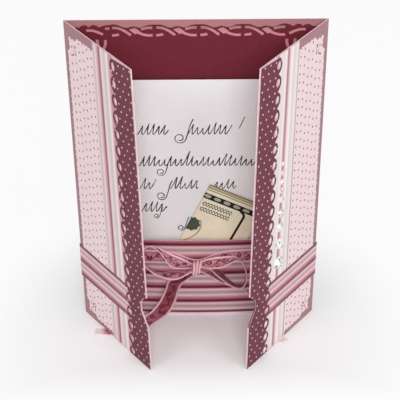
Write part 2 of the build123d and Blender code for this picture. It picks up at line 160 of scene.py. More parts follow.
# The pocket's bowed front, which the ribbon's run lies on
pocket_half_width = 64 * MM
pocket_bulge = 4 * MM
pocket_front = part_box("pocket")[0].y

# Stations of the bow's strands: the two edges of the ribbon, each as x, y and z, in shares
# of the bow's span, from the knot's middle and from the pocket's front. A tail's z is a
# share of the knot's height.
left_loop_shares = (
    ((-0.030, -0.055, 0.040), (-0.030, -0.075, 0.010)),
    ((-0.100, -0.070, 0.100), (-0.135, -0.190, 0.090)),
    ((-0.175, -0.080, 0.155), (-0.235, -0.235, 0.125)),
    ((-0.275, -0.085, 0.210), (-0.300, -0.250, 0.195)),
    ((-0.355, -0.085, 0.260), (-0.355, -0.250, 0.300)),
    ((-0.425, -0.080, 0.295), (-0.415, -0.230, 0.370)),
    ((-0.505, -0.070, 0.290), (-0.495, -0.205, 0.390)),
    ((-0.575, -0.070, 0.240), (-0.570, -0.200, 0.335)),
    ((-0.600, -0.070, 0.155), (-0.595, -0.200, 0.250)),
    ((-0.575, -0.070, 0.065), (-0.565, -0.200, 0.160)),
    ((-0.495, -0.065, -0.010), (-0.475, -0.210, 0.055)),
    ((-0.400, -0.060, -0.055), (-0.385, -0.215, -0.005)),
    ((-0.295, -0.045, -0.060), (-0.285, -0.205, -0.050)),
    ((-0.180, -0.035, -0.065), (-0.195, -0.160, -0.075)),
    ((-0.100, -0.035, -0.050), (-0.115, -0.110, -0.065)),
    ((-0.030, -0.035, -0.020), (-0.030, -0.080, -0.030)),
)
right_loop_shares = (
    ((0.023, -0.055, 0.068), (0.023, -0.075, 0.023)),
    ((0.087, -0.070, 0.118), (0.097, -0.160, 0.066)),
    ((0.172, -0.080, 0.151), (0.181, -0.200, 0.089)),
    ((0.256, -0.090, 0.167), (0.265, -0.225, 0.123)),
    ((0.340, -0.100, 0.181), (0.348, -0.235, 0.179)),
    ((0.414, -0.100, 0.170), (0.420, -0.240, 0.227)),
    ((0.478, -0.105, 0.114), (0.478, -0.240, 0.194)),
    ((0.522, -0.105, 0.015), (0.516, -0.240, 0.097)),
    ((0.526, -0.100, -0.115), (0.525, -0.235, -0.015)),
    ((0.502, -0.090, -0.206), (0.509, -0.235, -0.106)),
    ((0.465, -0.085, -0.233), (0.459, -0.235, -0.152)),
    ((0.400, -0.075, -0.199), (0.377, -0.225, -0.136)),
    ((0.330, -0.065, -0.143), (0.304, -0.215, -0.085)),
    ((0.261, -0.055, -0.056), (0.212, -0.200, -0.005)),
    ((0.172, -0.050, 0.005), (0.135, -0.165, 0.055)),
    ((0.047, -0.045, 0.005), (0.048, -0.100, 0.055)),
)
left_tail_shares = (
    ((-0.020, -0.054, 0.960), (0.005, -0.069, 0.960)),
    ((-0.096, -0.054, 0.905), (-0.015, -0.085, 0.915)),
    ((-0.203, -0.069, 0.839), (-0.095, -0.169, 0.900)),
    ((-0.308, -0.069, 0.754), (-0.163, -0.179, 0.809)),
    ((-0.344, -0.069, 0.589), (-0.196, -0.160, 0.659)),
    ((-0.389, -0.073, 0.426), (-0.224, -0.155, 0.487)),
    ((-0.442, -0.089, 0.300), (-0.264, -0.160, 0.330)),
    ((-0.507, -0.124, 0.210), (-0.328, -0.192, 0.218)),
    ((-0.582, -0.156, 0.147), (-0.440, -0.250, 0.147)),
    ((-0.667, -0.186, 0.075), (-0.572, -0.312, 0.068)),
    ((-0.795, -0.200, 0.005), (-0.775, -0.350, 0.005)),
    ((-0.945, -0.205, 0.005), (-0.940, -0.350, 0.005)),
    ((-1.075, -0.245, 0.005), (-1.055, -0.332, 0.005)),
)
right_tail_shares = (
    ((0.000, -0.051, 0.960), (0.005, -0.080, 0.975)),
    ((0.033, -0.050, 0.985), (0.033, -0.085, 0.942)),
    ((0.103, -0.050, 0.940), (0.102, -0.110, 0.925)),
    ((0.188, -0.054, 0.850), (0.187, -0.155, 0.890)),
    ((0.268, -0.058, 0.748), (0.266, -0.195, 0.855)),
    ((0.381, -0.073, 0.640), (0.377, -0.211, 0.796)),
    ((0.504, -0.089, 0.588), (0.498, -0.227, 0.747)),
    ((0.564, -0.109, 0.517), (0.557, -0.248, 0.671)),
    ((0.651, -0.139, 0.391), (0.643, -0.276, 0.520)),
    ((0.727, -0.183, 0.190), (0.696, -0.312, 0.264)),
    ((0.800, -0.245, 0.005), (0.725, -0.340, 0.005)),
    ((0.880, -0.340, 0.005), (0.805, -0.405, 0.005)),
    ((0.940, -0.415, 0.005), (0.875, -0.460, 0.005)),
)

# Stones up the right flap: shares of a stone's diameter
stone_count = 9
stone_sides = 12
stone_girdle_share = 0.10
stone_rise_share = 0.38
stone_table_share = 0.52
stone_shoulder_share = 0.82
stone_lower_share = 0.6  # of the crown's height

# The flaps' papers: node, piece and slot
twisted_pieces = (
    ("card_base", "folded_card", "mauve_card"),
    ("belly_band", "striped_band", "band_paper"),
    ("left_dotted_panel", "left_dotted_paper", "pale_dotted_paper"),
    ("right_dotted_panel", "right_dotted_paper", "pale_dotted_paper"),
    ("left_striped_strip", "left_striped_paper", "pale_striped_paper"),
    ("right_striped_strip", "right_striped_paper", "pale_striped_paper"),
    ("left_scalloped_strip", "left_dark_paper", "dark_dotted_paper"),
    ("right_scalloped_strip", "right_dark_paper", "dark_dotted_paper"),
)

# Studio, with each lamp's place, aim, size and watts
near_glow = 0.05
far_glow = 0.9
glow_start = 105.0  # millimetres from the card's middle
glow_blur = 120.0
front_glow = 39.0
front_blur = 46.0
sky_strength = 0.42
lamps = {
    "key_lamp": ((0.8, -0.85, 1.0), (0, 0, 0.08), 0.6, 5.1),
    "fill_lamp": ((-0.8, -0.85, 1.0), (0, 0, 0.08), 0.6, 4.2),
    "front_lamp": ((0.1, -1.2, 0.85), (0, 0, 0.08), 0.5, 9.0),
}

# Camera
camera_place = (3.8 * MM, -570.4 * MM, 483.0 * MM)
camera_pitch = 33.35
camera_yaw = -0.225
camera_roll = 0.486
camera_lens = 103.9
sensor_width = 36.0

turn = math.radians(flap_angle)
twist = math.radians(flap_twist)
half_panel = panel_width / 2
half_height = card_height / 2


def linear(red, green, blue):
    """A paint from its usual 0 to 255 steps, as the shaders want it."""
    paint = []
    for step in (red / 255, green / 255, blue / 255):
        paint.append(step / 12.92 if step <= 0.04045 else ((step + 0.055) / 1.055) ** 2.4)
    return (*paint, 1.0)


def deselect_all():
    """Clears the selection, which an operator would act on."""
    for piece in bpy.context.selected_objects:
        piece.select_set(False)


def select_only(*pieces):
    """Selects these pieces and makes the first one active."""
    deselect_all()
    for piece in pieces:
        piece.select_set(True)
    bpy.context.view_layer.objects.active = pieces[0]


def new_object(name, data):
    """A new object in the scene, at the origin and unturned."""
    made = bpy.data.objects.new(name, data)
    bpy.context.scene.collection.objects.link(made)
    return made


def thicken(piece, thickness, offset):
    """Gives the active sheet its thickness, with the modifier applied."""
    wall = piece.modifiers.new("thickness", "SOLIDIFY")
    wall.thickness = thickness
    wall.offset = offset
    bpy.ops.object.modifier_apply(modifier="thickness")


class Shade:
    """A socket in a material's node tree. Sums on it add Math nodes."""

    def __init__(self, tree, socket):
        self.tree = tree
        self.socket = socket

    def node(self, kind, settings=None, inputs=None, output=0):
        """Adds a node with those settings and socket values or links, and gives one output."""
        made = self.tree.nodes.new(kind)
        for name, value in (settings or {}).items():
            if name == "stops":
                ramp = made.color_ramp
                while len(ramp.elements) < len(value):
                    ramp.elements.new(1.0)
                for element, (place, paint) in zip(ramp.elements, value):
                    element.position = place
                    element.color = paint
            else:
                setattr(made, name, value)
        for name, value in (inputs or {}).items():
            if isinstance(value, Shade):
                self.tree.links.new(value.socket, made.inputs[name])
            else:
                made.inputs[name].default_value = value
        return Shade(self.tree, made.outputs[output])

    def math(self, operation, first, second=0.0):
        """One Math node."""
        return self.node("ShaderNodeMath", {"operation": operation}, {0: first, 1: second})

    def __add__(self, other):
        return self.math("ADD", self, other)

    def __sub__(self, other):
        return self.math("SUBTRACT", self, other)

    def __rsub__(self, other):
        return self.math("SUBTRACT", other, self)

    def __mul__(self, other):
        return self.math("MULTIPLY", self, other)

    def __truediv__(self, other):
        return self.math("DIVIDE", self, other)

    def __pow__(self, other):
        return self.math("POWER", self, other)

    def __mod__(self, other):
        return self.math("FLOORED_MODULO", self, other)

    def __abs__(self):
        return self.math("ABSOLUTE", self)

    def squared(self):
        return self * self

    def floor(self):
        return self.math("FLOOR", self)

    def sine(self):
        return self.math("SINE", self)

    def smaller(self, other):
        return self.math("MINIMUM", self, other)

    def larger(self, other):
        return self.math("MAXIMUM", self, other)

    def below(self, limit, blur):
        """1 under the limit and 0 over it, with a soft step that wide."""
        settings = {"interpolation_type": "SMOOTHSTEP"}
        inputs = {"Value": self, "From Min": limit - blur / 2, "From Max": limit + blur / 2}
        inputs.update({"To Min": 1.0, "To Max": 0.0})
        return self.node("ShaderNodeMapRange", settings, inputs)

    def above(self, limit, blur):
        """1 over the limit and 0 under it."""
        return 1 - self.below(limit, blur)

    def ramp(self, stops):
        """Paint along a value from 0 to 1."""
        return self.node("ShaderNodeValToRGB", {"stops": stops}, {"Fac": self})

    def mix(self, paint, other):
        """The first paint where this is 0 and the other where it is 1."""
        settings = {"data_type": "RGBA"}
        return self.node("ShaderNodeMix", settings, {"Factor": self, 6: paint, 7: other}, 2)


class Finish(Shade):
    """A new material with its shader, coordinates and a bump to write to."""

    def __init__(self, name, coat=0.0, sheen=0.0, specular=0.5):
        self.material = bpy.data.materials.new(name)
        self.material.use_nodes = True
        tree = self.material.node_tree
        tree.nodes.clear()
        super().__init__(tree, None)
        self.output = tree.nodes.new("ShaderNodeOutputMaterial")
        self.surface = tree.nodes.new("ShaderNodeBsdfPrincipled")
        tree.links.new(self.surface.outputs[0], self.output.inputs["Surface"])
        self.surface.inputs["Coat Weight"].default_value = coat
        self.surface.inputs["Sheen Weight"].default_value = sheen
        self.surface.inputs["Specular IOR Level"].default_value = specular
        self.place = self.node("ShaderNodeTexCoord", output=3)

    def millimetres(self):
        """Where the point is, as x, y and z in millimetres."""
        separate = self.tree.nodes.new("ShaderNodeSeparateXYZ")
        self.tree.links.new(self.place.socket, separate.inputs[0])
        return [Shade(self.tree, out) / MM for out in separate.outputs]

    def noise(self, scale, detail=2.0):
        """Noise from 0 to 1, with that many humps to the millimetre."""
        inputs = {"Vector": self.place, "Scale": scale / MM, "Detail": detail}
        return self.node("ShaderNodeTexNoise", inputs=inputs)

    def paint(self, colour, roughness, bump=None, height=0.1 * MM):
        """Writes the colour, the roughness and a bump of that height to the shader."""
        for name, value in (("Base Color", colour), ("Roughness", roughness)):
            if isinstance(value, Shade):
                self.tree.links.new(value.socket, self.surface.inputs[name])
            else:
                self.surface.inputs[name].default_value = value
        if bump is not None:
            inputs = {"Height": bump, "Distance": height, "Strength": 1.0}
            normal = self.node("ShaderNodeBump", inputs=inputs)
            self.tree.links.new(normal.socket, self.surface.inputs["Normal"])
        return self.material


def flap_lengths(finish):
    """On either flap: millimetres from the fold, outwards from the inner face, and up."""
    x, y, z = finish.millimetres()
    side = half_panel / MM - abs(x)
    depth = y - panel_face / MM
    along = side * math.cos(turn) - depth * math.sin(turn)
    out = (side * math.sin(turn) + depth * math.cos(turn)) * -1
    swing = (z - half_height / MM) * (twist * MM / half_height)
    return along + out * swing, out - along * swing, z


def paper_grain(finish):
    """The fine tooth of paper, for a bump."""
    return finish.noise(6.0, 3.0) * 0.6 + finish.noise(1.2) * 0.4


def mottled(finish, paint, other, scale=0.25):
    """A paint with a slow, faint change to another one."""
    return finish.noise(scale, 3.0).mix(paint, other)


def paint_paper(finish, colour, roughness=paper_roughness, height=grain_height):
    """Writes a paper's colour and its grain."""
    return finish.paint(colour, roughness, paper_grain(finish), height)


# Paints
MAUVE_OUTSIDE = linear(172, 134, 139)
MAUVE_DEEP = linear(160, 122, 128)
MAUVE_INSIDE = linear(168, 119, 124)
MAUVE_ROSY = linear(196, 134, 144)
CUT_EDGE = linear(244, 214, 218)
SPRIG_SHADE = linear(92, 54, 64)
BURGUNDY = linear(112, 42, 54)
BURGUNDY_DEEP = linear(98, 34, 45)
PALE_PINK = linear(230, 204, 207)
PALE_PINK_WARM = linear(224, 197, 201)
DOT_MAUVE = linear(112, 72, 84)
PLUM = linear(108, 54, 68)
PLUM_DEEP = linear(92, 42, 54)
# Dark plum for painted shade on the right window's cut walls, and for the dark paper's cut walls
# with painted shade under its scallops
PLUM_EDGE_SHADE = linear(58, 24, 36)
DOT_PINK = linear(232, 190, 200)
LETTER_WHITE = linear(241, 243, 243)
LETTER_GREY = linear(234, 236, 237)
INK = linear(24, 24, 24)
SLIP_CREAM = linear(250, 242, 216)
SLIP_OLIVE = linear(150, 124, 76)
SLIP_GREEN = linear(46, 62, 46)

# The striped paper's repeat, downwards from a dark line, in millimetres
stripe_period = 11.3
stripe_paints = (
    (0.0, (100, 32, 48)),
    (0.9, (112, 42, 58)),
    (1.7, (206, 158, 166)),
    (2.5, (234, 200, 205)),
    (3.5, (204, 174, 177)),
    (4.7, (166, 145, 146)),
    (5.8, (200, 172, 176)),
    (7.0, (236, 202, 207)),
    (8.1, (206, 152, 163)),
    (9.4, (180, 114, 128)),
    (10.3, (148, 80, 94)),
    (11.3, (100, 32, 48)),
)
left_stripe_paints = (
    (33.0, (206, 190, 190)),
    (35.3, (208, 194, 194)),
    (36.4, (236, 214, 215)),
    (37.6, (228, 192, 197)),
    (39.4, (196, 148, 156)),
    (40.6, (146, 100, 108)),
    (41.2, (138, 92, 100)),
    (41.8, (220, 184, 188)),
    (43.2, (238, 216, 218)),
    (45.0, (210, 200, 198)),
    (47.2, (206, 198, 196)),
    (48.6, (240, 228, 228)),
    (50.0, (232, 206, 210)),
    (51.2, (204, 156, 166)),
    (54.6, (196, 146, 156)),
    (55.4, (228, 204, 208)),
    (74.0, (228, 204, 208)),
)
right_stripe_paints = (
    (33.0, (236, 218, 220)),
    (33.6, (150, 122, 128)),
    (34.2, (214, 196, 198)),
    (35.4, (240, 226, 226)),
    (37.0, (224, 216, 212)),
    (39.4, (216, 210, 206)),
    (40.6, (246, 236, 235)),
    (42.8, (238, 212, 214)),
    (44.2, (204, 158, 166)),
    (45.4, (158, 112, 122)),
    (46.2, (210, 176, 180)),
    (47.4, (244, 230, 230)),
    (49.4, (225, 215, 214)),
    (52.0, (228, 219, 217)),
    (54.6, (240, 226, 227)),
    (55.8, (214, 168, 180)),
    (57.4, (222, 180, 190)),
    (58.4, (244, 228, 230)),
    (74.0, (240, 226, 227)),
)


def stops_of(paints, start, end):
    """Ramp stops from paints at places between start and end."""
    return [((place - start) / (end - start), linear(*paint)) for place, paint in paints]


def striped_down(z, line):
    """The striped paper's colour at a height, with a dark line at that height."""
    down = (line - z) % stripe_period
    return (down / stripe_period).ramp(stops_of(stripe_paints, 0, stripe_period))


def at_window(along, z):
    """1 beside the bow's window in a flap's free edge."""
    low, high = window_rows
    return along.above(window_depth, 0.2) * z.above(low, 0.2) * z.below(high, 0.2)


def card_finish():
    """Mauve card stock: deeper outside, rosier inside, with pale cut edges, painted shade in the
    sprigs and painted shade on the right window's cut wall.
    """
    finish = Finish("mauve_card", specular=paper_specular)
    along, out, z = flap_lengths(finish)
    x, y = finish.millimetres()[:2]
    behind = y.above((panel_face + card_stock * 0.9) / MM, 0.05)
    inside = out.below(card_stock / MM / 2, 0.04) * (1 - behind)
    lining = z.below(lining_top, 2.5).mix(MAUVE_INSIDE, MAUVE_ROSY)
    colour = inside.mix(mottled(finish, MAUVE_OUTSIDE, MAUVE_DEEP), lining)
    # Painted shade: the card is darkened in discs where the sprig holes in the paper above show it
    low_sprig, high_sprig = sprig_heights
    beside = (along - sprig_along).squared()
    nearest = (z - low_sprig).squared().smaller((z - high_sprig).squared())
    outside = out.above(card_stock / MM - 0.15, 0.05)
    sprig_shade = ((beside + nearest) ** 0.5).below(sprig_reach, 1.0) * outside
    colour = sprig_shade.mix(colour, SPRIG_SHADE)
    top = z.above(card_height / MM - 0.04, 0.02)
    free = along.above(flap_width / MM - 0.04, 0.02)
    wall = out.above(0.04, 0.03) * out.below(card_stock / MM - 0.04, 0.03)
    wall = wall * at_window(along, z)
    colour = top.larger(free).larger(wall).mix(colour, CUT_EDGE)
    # On the right flap the window's cut wall is painted dark, a painted shade
    colour = (wall * x.above(0, 1.0)).mix(colour, PLUM_EDGE_SHADE)
    return paint_paper(finish, colour, 0.62)


def dotted_finish():
    """Pale pink paper with small dark dots, every other column set higher."""
    finish = Finish("pale_dotted_paper", specular=paper_specular)
    along, out, z = flap_lengths(finish)
    column, row, rise, first_column, first_row = 4.6, 5.27, 1.85, 8.0, 165.4
    shifted = along - first_column + column / 2
    odd = (shifted / column).floor() % 2
    du = shifted % column - column / 2
    dz = (z - first_row - odd * rise + row / 2) % row - row / 2
    ragged = finish.noise(2.2) * 0.5
    dot = (du.squared() + dz.squared() * 0.9 + ragged).below(0.62, 0.34)
    ground = mottled(finish, PALE_PINK, PALE_PINK_WARM)
    ground = finish.noise(1.6, 4.0).above(0.5, 0.5).mix(ground, linear(243, 224, 226))
    colour = dot.mix(ground, DOT_MAUVE)
    colour = out.below((card_stock + paper) / MM - cut_wall, 0.02).mix(colour, CUT_EDGE)
    return paint_paper(finish, colour)


def striped_strip_finish(name, paints, window_edge_and_shade=CUT_EDGE):
    """Paper printed with soft stripes that run up the flap."""
    finish = Finish(name, specular=paper_specular)
    along, out, z = flap_lengths(finish)
    start, end = paints[0][0], paints[-1][0]
    drift = 0.006  # the stripes lean that much from foot to top
    place = along - (half_height / MM - z) * drift + (finish.noise(0.8) - 0.5) * 0.25
    colour = ((place - start) / (end - start)).ramp(stops_of(paints, start, end))
    wall = out.below((card_stock + paper) / MM - cut_wall, 0.02)
    colour = wall.mix(colour, CUT_EDGE)
    # By the window the cut wall takes the given paint: the pale cut edge on the left flap, painted
    # shade on the right
    colour = (wall * at_window(along, z) * z.below(window_bend, 4.0)).mix(colour, window_edge_and_shade)
    return paint_paper(finish, colour)


def scalloped_finish(name, first_column, first_row, shift, drop):
    """Dark plum paper with pale dots in slanted rows, every other row shifted that far."""
    finish = Finish(name, specular=paper_specular)
    along, out, z = flap_lengths(finish)
    column, period, slope = 5.75, 9.25, 0.13
    place = along - first_column
    slanted = (z - first_row - place * slope + period / 4) % period
    second = slanted.above(period / 2, 0.001)
    du = (place - second * shift + column / 2) % column - column / 2
    dz = slanted - period / 4 - second * (period - drop)
    ragged = finish.noise(2.4) * 0.3
    dot = (du.squared() + dz.squared() + ragged).below(0.52, 0.3)
    ground = mottled(finish, PLUM, PLUM_DEEP, 0.5)
    ground = finish.noise(1.8, 4.0).above(0.55, 0.4).mix(ground, linear(126, 72, 84))
    colour = dot.mix(ground, DOT_PINK)
    # The cut walls are painted dark plum: the paper's own edge, with painted shade under the
    # scallops
    colour = out.below((card_stock + 2 * paper) / MM - dark_cut_wall, 0.03).mix(colour, PLUM_EDGE_SHADE)
    return paint_paper(finish, colour)


def band_finish():
    """The belly band's striped paper."""
    finish = Finish("band_paper", specular=paper_specular)
    z = finish.millimetres()[2]
    wavy = z + (finish.noise(0.8) - 0.5) * 0.3
    colour = striped_down(wavy, band_line)
    colour = (finish.noise(0.4) * 0.22).mix(colour, linear(242, 216, 220))
    colour = z.above(band_rim, 0.3).mix(colour, linear(128, 84, 94))
    return paint_paper(finish, colour)


def pocket_finish():
    """The pocket's striped paper, with a pale cut top and a dark line at the foot."""
    finish = Finish("striped_paper", specular=paper_specular)
    z = finish.millimetres()[2]
    colour = striped_down(z, pocket_line)
    foot = abs(z - pocket_foot_line).below(0.8, 0.6)
    colour = foot.mix(colour, linear(122, 70, 82))
    colour = z.below(pocket_foot_edge, 0.6).mix(colour, linear(236, 222, 224))
    colour = z.above(pocket_top_edge, 0.04).mix(colour, CUT_EDGE)
    return paint_paper(finish, colour)


def liner_finish():
    """Matt burgundy paper."""
    finish = Finish("burgundy_paper", specular=0.1)
    return paint_paper(finish, mottled(finish, BURGUNDY, BURGUNDY_DEEP), 0.7)


def letter_finish():
    """Smooth white writing paper."""
    finish = Finish("white_paper", specular=paper_specular)
    colour = mottled(finish, LETTER_WHITE, LETTER_GREY, 0.05)
    return paint_paper(finish, colour, 0.55, 0.02 * MM)


def slip_finish():
    """Cream voucher paper: olive lines of painted shade at its stacked edges, a dark frame with
    ovals, waves and a rosette.
    """
    finish = Finish("voucher_paper", specular=paper_specular)
    frame_row, frame_side, corner_reach, oval_pitch = 7.5, 29.4, 4.0, 6.6
    corner_over, corner_down = 25.5, 13.5
    rosette_over, rosette_down, rosette_reach = 2.0, 30.5, 5.0
    x, _, z = finish.millimetres()
    lean = math.radians(slip_lean)
    right = x - slip_corner_x
    up = z - slip_corner_z
    over = right * math.cos(lean) - up * math.sin(lean)
    down = (right * math.sin(lean) + up * math.cos(lean)) * -1
    ground = mottled(finish, SLIP_CREAM, linear(230, 221, 190), 0.12)
    ground = down.below(18, 22).mix(ground, linear(232, 230, 204))
    # Olive lines near the top: painted shade between the stacked folded edges, also used as a bump
    edge = abs(down - 1.3).below(0.6, 0.5).larger(abs(down - 3.0).below(0.4, 0.4))
    edge = edge.larger(down.below(0.35, 0.2))
    colour = (edge * 0.85).mix(ground, SLIP_OLIVE)
    frame_band = abs(down - 7.6).below(2.0, 0.3)
    corner = ((over - corner_over).squared() + (down - corner_down).squared()) ** 0.5
    side = abs(over - frame_side).below(0.8, 0.3) * down.above(12.0, 0.3)
    ring = abs(corner - corner_reach).below(0.8, 0.3)
    ring = ring * over.above(corner_over, 0.2) * down.below(corner_down, 0.2)
    dark = frame_band.larger(side).larger(ring)
    slot = (over + 1.0) % oval_pitch - oval_pitch / 2
    oval = (slot.squared() / 6.6 + (down - frame_row).squared() / 1.7).below(0.85, 0.3)
    hatch = (down * 9.0 + (over * 1.3).sine() * 1.5).sine().above(0.3, 0.8)
    inked = (hatch * 0.55).mix(linear(188, 187, 172), linear(70, 72, 60))
    banded = oval.mix(linear(34, 34, 28), inked)
    colour = dark.mix(colour, banded)
    wave = (over * 1.6).sine() * 1.25

    def lattice(row):
        """Two thin waves that cross along a row."""
        falling = abs(down - row - wave).below(0.42, 0.3)
        return falling.larger(abs(down - row + wave).below(0.42, 0.3))

    fine = lattice(13.4).larger(lattice(17.6)) * over.below(21.5, 0.4) * over.above(1.5, 0.4)
    colour = (fine * 0.95).mix(colour, linear(38, 36, 26))
    dx = over - rosette_over
    dz = down - rosette_down
    radius = (dx.squared() + dz.squared()) ** 0.5
    petals = (finish.math("ARCTAN2", dz, dx) * 9.0).sine() * 0.35
    rosette = (radius + petals).below(rosette_reach, 0.3)
    swirl = (radius * 5.0 + petals * 6.0).sine().above(0.2, 0.8)
    colour = rosette.mix(colour, (swirl * 0.6).mix(SLIP_GREEN, linear(112, 132, 106)))
    leaf = abs(over - 8.2 + (down - 33.0).squared() * 0.045).below(0.55, 0.4)
    leaf = leaf * down.above(25.5, 1.0)
    colour = (leaf * 0.7).mix(colour, SLIP_OLIVE)
    return finish.paint(colour, 0.55, paper_grain(finish) - edge * 2.0, 0.05 * MM)


def ribbon_finish():
    """Woven dusty rose ribbon with pale selvedges and a dark scroll, on its own lengths.

    The tails are measured back from a mark at their ends, where they are pale and frayed.
    Stretches of both tails and of the right loop's lower strand are darkened as painted shade.
    """
    finish = Finish("rose_ribbon", sheen=0.1, specular=0.2)
    vine_pitch, tendril_pitch, scroll_pitch = 11.0, 6.7, 5.3
    chart = finish.node("ShaderNodeUVMap")
    over = finish.node("ShaderNodeSeparateXYZ", inputs={0: chart})
    run = Shade(finish.tree, over.socket.node.outputs[1])
    inputs = {0: chart, "Scale": MM}
    finish.place = finish.node("ShaderNodeVectorMath", {"operation": "SCALE"}, inputs)
    middle = ribbon_width / MM / 2
    off = over - middle
    selvedge = abs(off).above(middle - 1.3, 0.3)
    thread = abs(abs(off) - (middle - 1.7)).below(0.3, 0.2)
    strayed = finish.noise(0.22) - 0.5
    bent = off + strayed * 5.0
    ragged = (finish.noise(1.4) - 0.5) * 1.1
    vine = abs(bent - (run * (math.tau / vine_pitch)).sine() * 1.9 + ragged).below(0.42, 0.35)
    tendril = abs(bent + (run * (math.tau / tendril_pitch)).sine() * 2.4 + ragged).below(0.3, 0.25)
    vine = vine.larger(tendril * finish.noise(0.35).above(0.47, 0.1))
    shifted = run + strayed * 7.0
    beside = shifted % scroll_pitch - scroll_pitch / 2
    side = ((shifted / scroll_pitch).floor() % 2) * 2 - 1
    centre = off + side * 1.3
    reach = (centre.squared() * 0.7 + beside.squared()) ** 0.5 + ragged * 0.9
    scroll = abs(reach - 1.25).below(0.36, 0.3).larger(reach.below(0.45, 0.3))
    inked = vine.larger(scroll) * finish.noise(0.8).above(0.36, 0.15)
    weave = ((over * 22.0).sine() * (run * 22.0).sine() + 1) * 0.5
    ground = finish.noise(0.5, 3.0).mix(linear(214, 144, 158), linear(188, 108, 126))
    # Painted shade: a darker ground, dimmer flecks and dimmer selvedges along the listed stretches
    # of the tails and the right loop
    left, fold, right = (
        run.above(mark - start, start_blur) * run.below(mark - end, end_blur)
        for mark, start, start_blur, end, end_blur in painted_shade_stretches
    )
    painted_shade = left.larger(fold).larger(right)
    ground = painted_shade.mix(ground, linear(138, 50, 66))
    pale = weave * finish.noise(1.1, 3.0) * (1 - painted_shade * 0.7)
    ground = pale.mix(ground, linear(240, 192, 202))
    colour = (inked * 0.95).mix(ground, linear(88, 16, 38))
    colour = (thread * 0.6).mix(colour, linear(140, 60, 82))
    colour = (selvedge * (1 - painted_shade * 0.25)).mix(colour, linear(252, 206, 214))
    frayed = run.above(tail_mark - 3, 3.0) * run.below(tail_mark + 50, 1.0)
    frayed = frayed.larger(run.above(far_tail_mark - 3, 3.0))
    colour = (frayed * 0.95).mix(colour, linear(240, 218, 221))
    return finish.paint(colour, 0.55, weave * 0.5 + selvedge, 0.08 * MM)


def ink_finish():
    """Dry dark ink."""
    finish = Finish("ink", specular=0.2)
    return finish.paint(mottled(finish, INK, linear(44, 43, 45), 1.5), 0.6)


def stone_finish():
    """Clear stone with a silvered back: painted reflections of bright facets and a few dark ones,
    and a painted rosy reflection higher up.
    """
    finish = Finish("clear_stone", coat=0.6, specular=0.9)
    # Painted reflections: random cells of white, grey and a few dark facets
    inputs = {"Vector": finish.place, "Scale": 0.75 / MM}
    cell = finish.node("ShaderNodeTexVoronoi", inputs=inputs, output=1)
    painted_facet_reflection = finish.node("ShaderNodeRGBToBW", inputs={0: cell})
    stops = (
        (0.0, linear(96, 102, 99)),
        (0.26, linear(150, 156, 151)),
        (0.38, linear(200, 205, 200)),
        (0.55, linear(236, 239, 235)),
        (1.0, linear(255, 255, 255)),
    )
    # Painted rosy reflection, stronger on the stones higher up the flap
    painted_rosy_reflection = finish.millimetres()[2].above(92.0, 40.0)
    return finish.paint((painted_rosy_reflection * 0.5).mix(painted_facet_reflection.ramp(stops), linear(214, 182, 186)), 0.12)


def dress(finishes):
    """Gives each CAD node its finish."""
    for node, material in finishes.items():
        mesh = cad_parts[node].data
        mesh.materials.clear()
        mesh.materials.append(material)


def finish_piece(piece, slot, material, *nodes):
    """Lets a new piece ride with the card, in its finish, in place of those nodes. The slot is not
    used.
    """
    piece.data.materials.clear()
    piece.data.materials.append(material)
    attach(piece, "root")
    if nodes:
        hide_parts(*nodes)


def warp(point):
    """Where a point of a straight flap goes once the flap has its twist."""
    side = half_panel - abs(point.x)
    depth = point.y - panel_face
    along = side * math.cos(turn) - depth * math.sin(turn)
    out = -side * math.sin(turn) - depth * math.cos(turn)
    if along <= 0 or out < -0.1 * MM:
        return point
    angle = turn + twist * (point.z - half_height) / half_height
    side = along * math.cos(angle) - out * math.sin(angle)
    depth = -along * math.sin(angle) - out * math.cos(angle)
    return Vector((math.copysign(half_panel - side, point.x), panel_face + depth, point.z))


def twisted_paper(node, name, slot, material):
    """A flap's paper with the slight twist that a standing card takes."""
    piece = new_object(name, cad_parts[node].data.copy())
    select_only(piece)
    bpy.ops.object.mode_set(mode="EDIT")
    bpy.ops.mesh.select_all(action="SELECT")
    bpy.ops.mesh.remove_doubles(threshold=1e-6)
    low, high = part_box(node)
    height = bisect_step
    while height < card_height:
        if low.z < height < high.z:
            bpy.ops.mesh.select_all(action="SELECT")
            bpy.ops.mesh.bisect(plane_co=(0, 0, height), plane_no=(0, 0, 1))
        height += bisect_step
    bpy.ops.object.mode_set(mode="OBJECT")
    for vertex in piece.data.vertices:
        vertex.co = warp(vertex.co)
    if piece.data.has_custom_normals:
        bpy.ops.mesh.customdata_custom_splitnormals_clear()
    bpy.ops.object.shade_flat()
    finish_piece(piece, slot, material, node)


def on_curve(stations, share):
    """A point on the smooth line through the stations, at a share of its length."""
    place = share * (len(stations) - 1)
    first = min(int(place), len(stations) - 2)
    t = place - first
    near = [stations[min(max(first + step, 0), len(stations) - 1)] for step in (-1, 0, 1, 2)]
    a, b, c, d = near
    steady = 2 * b
    rising = (c - a) * t
    curving = (2 * a - 5 * b + 4 * c - d) * t * t
    swinging = (3 * b - a - 3 * c + d) * t * t * t
    return (steady + rising + curving + swinging) / 2


